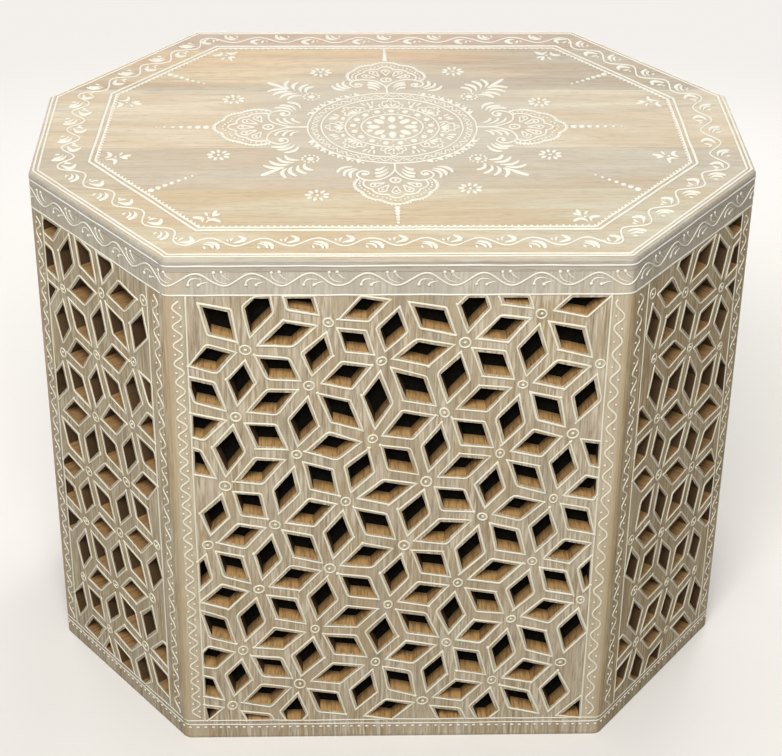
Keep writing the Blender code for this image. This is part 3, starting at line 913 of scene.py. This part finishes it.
def paint_flower(paint, place):
    turn = paint.hand.uniform(0, math.pi / 4)
    for k in range(FLOWER_PETALS):
        angle = turn + k * 2 * math.pi / FLOWER_PETALS
        paint.dot(spot(place, angle)([FLOWER_REACH]), *FLOWER_PETAL, angle)
    paint.dot(place, FLOWER_EYE)


def paint_trail(paint, first, last, count, large, small):
    """A row of dots that get smaller."""
    for share in np.linspace(0, 1, count):
        paint.dot(first + (last - first) * share, large + (small - large) * share)


def paint_corner(paint, put):
    """Two leaves at the foot, a dot and three petals."""
    for leaf in CORNER_LEAVES:
        paint.comma(put, *leaf, CORNER_FULL)
    paint.dot(put([CORNER_DOT]), CORNER_DOT_SIZE)


def paint_top(sides):
    lines = Paint("paint_top_lines", on_top)
    paint_lines(lines)
    vine = Paint("paint_top_vine", on_top)
    paint_vine(vine, sides)
    medallion = Paint("paint_medallion", on_top)
    paint_medallion(medallion)
    fans = []
    for k, (name, shift, wide, long, dots) in enumerate(FANS):
        fan = Paint(f"paint_fan_{name}", on_top)
        foot = spot(MEDALLION, k * math.pi / 2)([(shift, MEDALLION_RINGS[0])])[0]
        paint_fan(fan, spot(foot, k * math.pi / 2, wide, long), dots)
        fans.append(fan)
    sprays = Paint("paint_top_sprays", on_top)
    for place in FLOWERS:
        paint_flower(sprays, np.array(place))
    for x, y in itertools.product((-1, 1), repeat=2):
        way = np.array([x, y])
        lean = math.atan2(*(way * SPRIG_WAY)[::-1]) + SPRIG_LEAN.get((x, y), 0.0)
        paint_sprig(sprays, spot(way * SPRIG_PLACE + MEDALLION, lean - math.pi / 2))
        paint_trail(sprays, *(way * TRAIL + TRAIL_SHIFT), *TRAIL_DOTS)
        for place, shift, lean in CORNERS:
            turn = math.pi / 2 * (1 + y) - x * y * lean
            paint_corner(sprays, spot(way * place + (0, shift), turn, wide=x * y))
    return [lines, vine, medallion, *fans, sprays]


# Materials: tones from pale to dark, and sizes along and across the grain in millimetres

PLANK_TONES = (  # pale, warm, grey and dark of each plank, from the front
    ((0.715, 0.63, 0.46), (0.655, 0.52, 0.34), (0.59, 0.52, 0.39), (0.42, 0.32, 0.21)),
    ((0.665, 0.59, 0.47), (0.625, 0.505, 0.36), (0.545, 0.48, 0.40), (0.40, 0.32, 0.23)),
    ((0.81, 0.72, 0.56), (0.725, 0.59, 0.42), (0.66, 0.58, 0.475), (0.47, 0.36, 0.25)),
    ((0.81, 0.665, 0.465), (0.73, 0.535, 0.345), (0.61, 0.51, 0.39), (0.38, 0.28, 0.18)),
    ((0.64, 0.52, 0.42), (0.66, 0.48, 0.36), (0.54, 0.45, 0.38), (0.34, 0.26, 0.20)),
)
PLANK_CONTRAST = 0.5
END_TONES = (  # how the ends of each plank differ from its clearest place
    (0.95, 1.02, 1.10), (0.95, 0.98, 1.0), (0.95, 0.97, 0.98), (0.72, 0.79, 0.91), (0.90, 0.89, 0.90),
)
CLEAR_PLACE = -90.0
ENDS_REACH = (60.0, 280.0)
ENDS_WAVER = 60.0
WANDER = (180.0, 14.0)
FIGURE = (  # places of other colour: middle, reach along and across, and how they differ
    (45.0, -168.0, 140.0, 24.0, (0.94, 0.86, 0.80)),
    (-165.0, 98.0, 150.0, 20.0, (0.84, 0.89, 0.95)),
    (258.0, 75.0, 50.0, 50.0, (0.87, 0.86, 0.88)),
    (55.0, 162.0, 60.0, 26.0, (0.93, 0.87, 0.86)),
    (-30.0, 124.0, 100.0, 13.0, (0.90, 0.87, 0.86)),
)
FIGURE_FADE = (1.5, 0.7)
WIPED_TONE = (0.58, 0.54, 0.46)
WIPED_REACH = (165.0, 85.0)
WIPED_SHIFT = 20.0  # the greyer wood lies a little behind the medallion
WIPED_SHARE = 0.6
# Painted shade on the wood beside the raised piping and in corners, found by an occlusion node
PAINTED_SHADE_TONE = (0.27, 0.235, 0.18)
PAINTED_SHADE_REACH = 3.0
PAINTED_SHADE_SHARE = 0.5
EDGE_TONES = ((0.60, 0.575, 0.51), (0.555, 0.505, 0.42), (0.52, 0.50, 0.46), (0.36, 0.30, 0.22))
BOARD_TONES = ((0.585, 0.50, 0.365), (0.50, 0.39, 0.24), (0.485, 0.42, 0.31), (0.22, 0.15, 0.085))
SIDE_TINTS = {"front_left": (0.96, 0.96, 0.93), "front_right": (0.94, 0.89, 0.77)}
PLAIN = (1.0, 1.0, 1.0)
WASH_TONE = (0.78, 0.70, 0.55)
WASH_PATCH = (70.0, 22.0, 0.8)
WASH_STREAK = (26.0, 2.0)
WASH_SHARE = 0.8
STAIN_TONE = (0.30, 0.235, 0.19)
STAIN = (170.0, 15.0, 0.5)
STAIN_SHARE = 0.5
APRON_TONE = (0.66, 0.65, 0.59)
APRON_BLUR = 2.0
APRON_SHARE = 0.5
STILE_TONE = (0.70, 0.60, 0.43)
STILE_BLUR = 4.0
STILE_SHARE = 0.5
RUBBED_TONE = (0.56, 0.43, 0.25)
RUBBED_REACH = (5.5, 2.5)
RUBBED_SHARE = 0.55
WIDE_SHADE, WIDE_LIT_WALL = (0.045, 0.026, 0.013), (0.62, 0.365, 0.14)  # painted light and shade on the walls of the holes: the shade where they face down or sideways, the lit tone where they face up; the slim boards' walls are given less light
SLIM_SHADE, SLIM_LIT_WALL = (0.075, 0.043, 0.02), (0.36, 0.21, 0.085)
SAW_MARKS = (1.6, 16.0, 2.0)  # along the board, through it and upright
SAW_SHARE = 0.45
DEEP_SHADE_REACH = (0.3, 1.1)  # painted shade deeper in the holes, by share of the board's thickness
DEEP_SHADE_SHARE = 0.6
RAW_TONES = ((0.40, 0.26, 0.13), (0.32, 0.19, 0.09), (0.36, 0.25, 0.14), (0.18, 0.10, 0.05))
THICK_PAINT = ((0.895, 0.86, 0.75), (0.93, 0.905, 0.825))
THIN_PAINT = ((0.895, 0.855, 0.68), (0.93, 0.90, 0.75))  # more of the wood shows on the boards
BLACK = ((0.004, 0.004, 0.003), (0.010, 0.009, 0.007))
ZINC = ((0.52, 0.52, 0.50), (0.70, 0.70, 0.66))
SHEEN = 0.3
BUMP_DEPTH = 0.6
X_AXIS, Z_AXIS = 0, 2


def connect(tree, value, socket):
    if isinstance(value, bpy.types.NodeSocket):
        tree.links.new(value, socket)
    else:
        socket.default_value = value


def add_node(tree, kind, inputs=None, **settings):
    node = tree.nodes.new(kind)
    for name, value in settings.items():
        setattr(node, name, value)
    for name, value in (inputs or {}).items():
        connect(tree, value, node.inputs[name])
    return node


def mix(tree, share, first, second, blend="MIX"):
    tones = [(*tone, 1.0) if isinstance(tone, tuple) else tone for tone in (first, second)]
    inputs = dict(zip((0, 6, 7), (share, *tones)))  # the sockets of a mix of colours
    return add_node(tree, "ShaderNodeMix", inputs, data_type="RGBA", blend_type=blend).outputs[2]


def ramp(tree, value, low, high):
    """Runs from 0 at the low value to 1 at the high one, which may be the smaller."""
    inputs = {"Value": value, "From Min": low, "From Max": high}
    return add_node(tree, "ShaderNodeMapRange", inputs, interpolation_type="SMOOTHSTEP").outputs["Result"]


def math_node(tree, operation, *values):
    return add_node(tree, "ShaderNodeMath", dict(enumerate(values)), operation=operation).outputs[0]


def times(tree, first, second):
    return math_node(tree, "MULTIPLY", first, second)


def laid(tree, colour, tone, mask, share):
    """A colour with a tone laid over it, by a share of the mask."""
    return mix(tree, times(tree, mask, share), colour, tone)


def vector_math(tree, operation, *vectors):
    inputs = dict(enumerate(vectors))
    return add_node(tree, "ShaderNodeVectorMath", inputs, operation=operation).outputs["Value"]


def part_of(tree, vector, axis):
    return add_node(tree, "ShaderNodeSeparateXYZ", {"Vector": vector}).outputs[axis]


def mapped(tree, vector, shift, scale):
    inputs = {"Vector": vector, "Location": shift, "Scale": scale}
    return add_node(tree, "ShaderNodeMapping", inputs).outputs["Vector"]


def object_place(tree):
    return add_node(tree, "ShaderNodeTexCoord").outputs["Object"]


def noise(tree, vector, scale, detail=4.0, distortion=0.0):
    inputs = {"Vector": vector, "Scale": scale, "Detail": detail, "Distortion": distortion}
    return add_node(tree, "ShaderNodeTexNoise", inputs).outputs["Fac"]


def clouds(tree, scale):
    """Even noise, by its features to the metre."""
    return noise(tree, object_place(tree), scale)


def streaks(tree, shift, axis, along, across, distortion=0.0):
    """Noise drawn out along an axis. The sizes of its features are in millimetres."""
    scale = [1 / (across * MM)] * 3
    scale[axis] = 1 / (along * MM)
    return noise(tree, mapped(tree, object_place(tree), shift, scale), 1.0, 3.0, distortion)


def new_material(name):
    material = bpy.data.materials.new(name)
    material.use_nodes = True
    return material, material.node_tree, material.node_tree.nodes["Principled BSDF"]


def surface(tree, shader, colour, roughness, height=None, strength=0.2):
    tree.links.new(colour, shader.inputs["Base Color"])
    tree.links.new(roughness, shader.inputs["Roughness"])
    shader.inputs["Specular IOR Level"].default_value = SHEEN
    if height is not None:
        inputs = {"Height": height, "Strength": strength, "Distance": BUMP_DEPTH * MM}
        bump = add_node(tree, "ShaderNodeBump", inputs)
        tree.links.new(bump.outputs["Normal"], shader.inputs["Normal"])


def grain_tones(tree, shift, axis, tones, contrast=1.0):
    """Wood colour with its grain along an axis, and the height of the grain."""
    pale, warm, grey, dark = tones
    broad = streaks(tree, shift, axis, 260.0, 48.0, 1.6)
    band = streaks(tree, shift, axis, 120.0, 9.0, 0.6)
    fine = streaks(tree, shift, axis, 55.0, 2.2)
    flecks = streaks(tree, shift, axis, 17.0, 1.8)
    pores = streaks(tree, shift, axis, 11.0, 0.8)
    colour = mix(tree, ramp(tree, broad, 0.34, 0.66), warm, pale)
    layers = (  # where each starts and is full, its share and its tone
        (band, 0.46, 0.70, 0.9 * contrast, grey),
        (fine, 0.46, 0.74, 0.5 * contrast, dark),
        (flecks, 0.55, 0.70, 0.32, dark),
        (pores, 0.54, 0.70, 0.5, dark),
    )
    for layer, low, high, share, tone in layers:
        colour = laid(tree, colour, tone, ramp(tree, layer, low, high), share)
    return colour, math_node(tree, "ADD", fine, times(tree, pores, -0.6))


def painted_crevice_shade(tree, colour):
    """Painted shade: darkens the wood close beside raised piping and in corners, where shade falls."""
    inputs = {"Distance": PAINTED_SHADE_REACH * MM}
    near = add_node(tree, "ShaderNodeAmbientOcclusion", inputs, samples=8).outputs["AO"]
    return laid(tree, colour, PAINTED_SHADE_TONE, ramp(tree, near, 0.98, 0.7), PAINTED_SHADE_SHARE)


def figured(tree, k, place, colour, end_tone):
    """The colour of a plank with its ends and its own places of other colour."""
    wander = streaks(tree, (0.5 * k, 0, 0), X_AXIS, *WANDER)
    waver = times(tree, wander, 2 * ENDS_WAVER * MM)
    from_clear = math_node(tree, "SUBTRACT", part_of(tree, place, "X"), CLEAR_PLACE * MM)
    ends = math_node(tree, "ADD", math_node(tree, "ABSOLUTE", from_clear), waver)
    low, high = [(reach + ENDS_WAVER) * MM for reach in ENDS_REACH]
    colour = mix(tree, ramp(tree, ends, low, high), colour, end_tone, "MULTIPLY")
    for x, y, along, across, tone in FIGURE:
        shift, scale = (-x / along, -y / across, 0.0), (1 / (along * MM), 1 / (across * MM), 0.0)
        reach = vector_math(tree, "LENGTH", mapped(tree, place, shift, scale))
        reach = math_node(tree, "ADD", reach, wander)
        colour = mix(tree, ramp(tree, reach, *FIGURE_FADE), colour, tone, "MULTIPLY")
    return colour


def plank_material(k, tones, end_tone):
    """Pale washed wood, greyer where the wash stays among the piping and on the edges of the top."""
    material, tree, shader = new_material(f"washed_plank_{k}")
    colour, grain = grain_tones(tree, (0.37 * k, 0.11 * k, 0), X_AXIS, tones, PLANK_CONTRAST)
    edge, _ = grain_tones(tree, (0.2 * k, 0.3, 0.1), X_AXIS, EDGE_TONES)
    geometry = add_node(tree, "ShaderNodeNewGeometry")
    place, normal = geometry.outputs["Position"], geometry.outputs["True Normal"]
    middle = Vector((MEDALLION[0], MEDALLION[1] + WIPED_SHIFT, HEIGHT)) * MM
    away = vector_math(tree, "DISTANCE", place, middle)
    wiped = ramp(tree, away, *(reach * MM for reach in WIPED_REACH))
    colour = laid(tree, colour, WIPED_TONE, wiped, WIPED_SHARE)
    colour = figured(tree, k, place, colour, end_tone)
    level = ramp(tree, part_of(tree, normal, "Z"), 0.45, 0.92)
    # painted shade beside the piping and in corners
    colour = painted_crevice_shade(tree, mix(tree, level, edge, colour))
    surface(tree, shader, colour, ramp(tree, grain, -0.6, 0.9), grain, 0.15)
    return material


def washed(tree, side, shift, colour):
    """The colour of a board under its streaks of wash and its stains."""
    patch = ramp(tree, streaks(tree, shift, Z_AXIS, *WASH_PATCH), 0.32, 0.56)
    streak = ramp(tree, streaks(tree, shift, Z_AXIS, *WASH_STREAK), 0.46, 0.64)
    colour = laid(tree, colour, WASH_TONE, times(tree, streak, patch), WASH_SHARE)
    colour = mix(tree, 1.0, colour, SIDE_TINTS.get(side.name, PLAIN), "MULTIPLY")
    stain = ramp(tree, streaks(tree, shift, Z_AXIS, *STAIN), 0.60, 0.74)
    return laid(tree, colour, STAIN_TONE, stain, STAIN_SHARE)


def hole_wall(tree, side, along, depth, below, upward):
    """Bare sawn wood with painted light and shade: lit golden where it faces up, in painted shade where it
    faces down or sideways, and in painted shade darker towards the inside.
    """
    shade, tone = (WIDE_SHADE, WIDE_LIT_WALL) if side.kind == "wide" else (SLIM_SHADE, SLIM_LIT_WALL)
    cut = add_node(tree, "ShaderNodeCombineXYZ", {"X": along, "Y": depth, "Z": below}).outputs["Vector"]
    sawn = noise(tree, mapped(tree, cut, (0, 0, 0), [1 / (size * MM) for size in SAW_MARKS]), 1.0)
    bare = mix(tree, ramp(tree, upward, 0.2, 0.95), shade, tone)
    bare = laid(tree, bare, shade, ramp(tree, sawn, 0.42, 0.66), SAW_SHARE)
    # painted shade towards the inside of the hole
    deep = ramp(tree, depth, *(share * BOARD * MM for share in DEEP_SHADE_REACH))
    return laid(tree, bare, shade, deep, DEEP_SHADE_SHARE)


def board_material(side):
    """Washed wood outside, bare wood in the holes and inside, and a rubbed strip along each arris."""
    material, tree, shader = new_material(f"washed_{side.name}")
    shift = (0.31 * len(side.name), 0.07 * side.hand % 1, 0.17)
    colour, grain = grain_tones(tree, shift, Z_AXIS, BOARD_TONES)
    colour = washed(tree, side, shift, colour)
    geometry = add_node(tree, "ShaderNodeNewGeometry")
    place, normal = geometry.outputs["Position"], geometry.outputs["True Normal"]
    outward, along_way = [Vector((*way, 0)) for way in (side.outward, side.along)]
    face, start = [float(side.start @ way) * MM for way in (side.outward, side.along)]
    depth = math_node(tree, "SUBTRACT", face, vector_math(tree, "DOT_PRODUCT", place, outward))
    along = math_node(tree, "SUBTRACT", vector_math(tree, "DOT_PRODUCT", place, along_way), start)
    from_end = math_node(tree, "MINIMUM", along, math_node(tree, "SUBTRACT", side.length * MM, along))
    below = math_node(tree, "SUBTRACT", APRON_LINE * MM, part_of(tree, place, "Z"))
    colour = laid(tree, colour, APRON_TONE, ramp(tree, below, APRON_BLUR * MM, 0.0), APRON_SHARE)
    if side.kind == "wide":
        stile = ramp(tree, from_end, (STILE_LINE + STILE_BLUR) * MM, (STILE_LINE - STILE_BLUR) * MM)
        colour = laid(tree, colour, STILE_TONE, stile, STILE_SHARE)
    arris = ramp(tree, from_end, *(reach * MM for reach in RUBBED_REACH))
    rubbed = times(tree, arris, ramp(tree, below, 0.0, APRON_BLUR * MM))
    colour = laid(tree, colour, RUBBED_TONE, rubbed, RUBBED_SHARE)
    inside = ramp(tree, vector_math(tree, "DOT_PRODUCT", normal, outward), 0.75, 0.45)
    wall = hole_wall(tree, side, along, depth, below, part_of(tree, normal, "Z"))
    # painted shade on the outer face beside the piping; the hole walls carry painted light and shade
    colour = mix(tree, inside, painted_crevice_shade(tree, colour), wall)
    surface(tree, shader, colour, ramp(tree, grain, -0.6, 0.8), grain, 0.2)
    return material


def clouded_material(name, scale, tones, roughness, bumps=None):
    """One of two tones by clouds of noise, with the noise or finer bumps as its height."""
    material, tree, shader = new_material(name)
    cloud = clouds(tree, scale)
    colour = mix(tree, ramp(tree, cloud, 0.3, 0.7), *tones)
    surface(tree, shader, colour, ramp(tree, cloud, *roughness), clouds(tree, bumps) if bumps else cloud, 0.1)
    return material, shader


def paint_material(name, tones):
    return clouded_material(name, 90.0, tones, (-0.6, 1.6), 900.0)[0]


def raw_material():
    material, tree, shader = new_material("bare_sawn_wood")
    colour, grain = grain_tones(tree, (0.5, 0.2, 0.1), Z_AXIS, RAW_TONES)
    surface(tree, shader, colour, ramp(tree, grain, -0.8, 0.6), grain, 0.3)
    return material


def lining_material():
    material, shader = clouded_material("black_backing", 300.0, BLACK, (-2.0, 1.0))
    shader.inputs["Specular IOR Level"].default_value = 0.05
    return material


def screw_material():
    material, shader = clouded_material("zinc_plated_steel", 400.0, ZINC, (-0.6, 1.8))
    shader.inputs["Metallic"].default_value = 1.0
    return material


def dress_frame(sides):
    raw = raw_material()
    finishes = {"block": raw, "cleat": raw, "lining": lining_material(), "screw": screw_material()}
    for k, tones in enumerate(zip(PLANK_TONES, END_TONES)):
        finishes[f"top_plank_{k + 1}"] = plank_material(k + 1, *tones)
    for side in sides:
        finishes[f"board_{side.name}"] = board_material(side)
    for name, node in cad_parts.items():
        finish = finishes.get(name) or finishes[name.split("_")[0]]
        node.data.materials.clear()
        node.data.materials.append(finish)


# Camera, floor and light, in metres

PHOTO_WIDTH = 782  # pixels
FOCAL_PIXELS = 2049.4
SENSOR = 36.0  # millimetres
CAMERA_PLACE = (-0.0519, -1.6344, 1.2200)
CAMERA_YAW, CAMERA_PITCH, CAMERA_ROLL = -0.033, -0.544, 0.0121
BACKDROP = (0.90, 0.865, 0.835)
STUDIO = (0.26, 0.257, 0.252)
FLOOR_TONES = ((0.87, 0.855, 0.83), (0.90, 0.885, 0.865))
FLOOR_BOUNCE = (0.14, 0.12, 0.10)  # what the floor throws back at the table
FLOOR_FADE = (0.55, 1.5)  # where the floor goes over into the backdrop, from the table's middle
FLOOR_FRONT = -4.0
FLOOR_HALF = 5.0
SWEEP_START = 1.6
SWEEP = 0.9
SWEEP_FIRST = 0.1  # angle of the sweep's first edge
SWEEP_STEPS = 12
WALL_TOP = 4.0
NO_TONE = (0.0, 0.0, 0.0)
LAMPS = (  # name, place, target, size, power, colour and whether it shows in a gloss
    ("key", (-0.35, -1.85, 2.10), (0.0, 0.0, 0.3), (1.5, 1.1), 61.0, (1.0, 0.98, 0.95), True),
    ("back", (0.45, 1.70, 1.60), (0.1, 0.1, 0.35), (1.4, 1.0), 17.0, (1.0, 0.99, 0.97), False),
    ("back_left", (-1.2, 1.90, 0.80), (0.0, 0.1, 0.25), (1.0, 0.8), 16.0, (1.0, 0.99, 0.97), False),
    ("back_right", (1.2, 1.90, 0.80), (0.0, 0.1, 0.25), (1.0, 0.8), 16.0, (1.0, 0.99, 0.97), False),
)


def add_object(name, data):
    obj = bpy.data.objects.new(name, data)
    bpy.context.scene.collection.objects.link(obj)
    return obj


def add_camera():
    data = bpy.data.cameras.new("camera")
    data.sensor_fit = "HORIZONTAL"
    data.sensor_width = SENSOR
    data.lens = FOCAL_PIXELS * data.sensor_width / PHOTO_WIDTH
    camera = add_object("camera", data)
    tilt = Matrix.Rotation(CAMERA_YAW, 4, "Z") @ Matrix.Rotation(math.pi / 2 + CAMERA_PITCH, 4, "X")
    camera.matrix_world = Matrix.Translation(CAMERA_PLACE) @ tilt @ Matrix.Rotation(CAMERA_ROLL, 4, "Z")
    bpy.context.scene.camera = camera


def seen_rays(tree):
    """1 for the rays that show the surroundings themselves, 0 for those that only light the table."""
    ray = add_node(tree, "ShaderNodeLightPath").outputs
    seen = math_node(tree, "MAXIMUM", ray["Is Camera Ray"], ray["Is Glossy Ray"])
    return math_node(tree, "MAXIMUM", seen, ray["Is Transmission Ray"])


def floor_material():
    """Pale near the table, where it takes the shadow, and further out as bright as the backdrop."""
    material, tree, shader = new_material("pale_floor")
    cloud = clouds(tree, 2.0)
    seen = seen_rays(tree)
    colour = mix(tree, seen, FLOOR_BOUNCE, mix(tree, cloud, *FLOOR_TONES))
    away = vector_math(tree, "LENGTH", object_place(tree))
    far = times(tree, ramp(tree, away, *FLOOR_FADE), seen)
    surface(tree, shader, mix(tree, far, colour, NO_TONE), ramp(tree, cloud, -2.0, 1.0))
    tree.links.new(mix(tree, far, NO_TONE, BACKDROP), shader.inputs["Emission Color"])
    shader.inputs["Emission Strength"].default_value = 1.0
    shader.inputs["Specular IOR Level"].default_value = 0.0
    return material


def add_floor():
    """A pale floor that sweeps up behind the table."""
    profile = [(FLOOR_FRONT, 0.0), (SWEEP_START, 0.0)]
    for angle in np.linspace(SWEEP_FIRST, math.pi / 2, SWEEP_STEPS):
        profile.append((SWEEP_START + SWEEP * math.sin(angle), SWEEP - SWEEP * math.cos(angle)))
    profile.append((SWEEP_START + SWEEP, WALL_TOP))
    verts = [(x, y, z) for y, z in profile for x in (-FLOOR_HALF, FLOOR_HALF)]
    faces = [(2 * k, 2 * k + 1, 2 * k + 3, 2 * k + 2) for k in range(len(profile) - 1)]
    mesh = bpy.data.meshes.new("floor")
    mesh.from_pydata(verts, [], faces)
    mesh.shade_smooth()
    mesh.materials.append(floor_material())
    floor = add_object("floor", mesh)
    floor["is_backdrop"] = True


def add_lamp(name, place, target, size, power, colour, gloss):
    data = bpy.data.lights.new(name, "AREA")
    data.shape = "RECTANGLE"
    data.size, data.size_y = size
    data.energy = power
    data.color = colour
    lamp = add_object(name, data)
    lamp.location = place
    lamp.rotation_euler = (Vector(target) - Vector(place)).to_track_quat("-Z", "Y").to_euler()
    lamp.visible_camera = False
    lamp.visible_glossy = gloss


def add_light():
    world = bpy.data.worlds.new("studio")
    bpy.context.scene.world = world
    world.use_nodes = True
    tree = world.node_tree
    pale = mix(tree, seen_rays(tree), STUDIO, BACKDROP)
    tree.links.new(pale, tree.nodes["Background"].inputs["Color"])
    for lamp in LAMPS:
        add_lamp(*lamp)


def main():
    sides = make_sides()
    dress_frame(sides)
    thick = paint_material("cream_piping", THICK_PAINT)
    thin = paint_material("thin_cream_piping", THIN_PAINT)
    for side in sides:
        area = Paint(f"paint_{side.name}", on_board(side))
        paint_openwork(area, side)
        paint_stiles(area, side)
        area.finish(thin)
    for area in paint_bands(sides) + paint_top(sides):
        area.finish(thick)
    add_camera()
    add_floor()
    add_light()
    bpy.context.scene.view_settings.view_transform = "Standard"


main()
boxes = {"cad": CAD_BOX, "visual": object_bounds()}
{name: [list(corner) for corner in box] for name, box in boxes.items()}
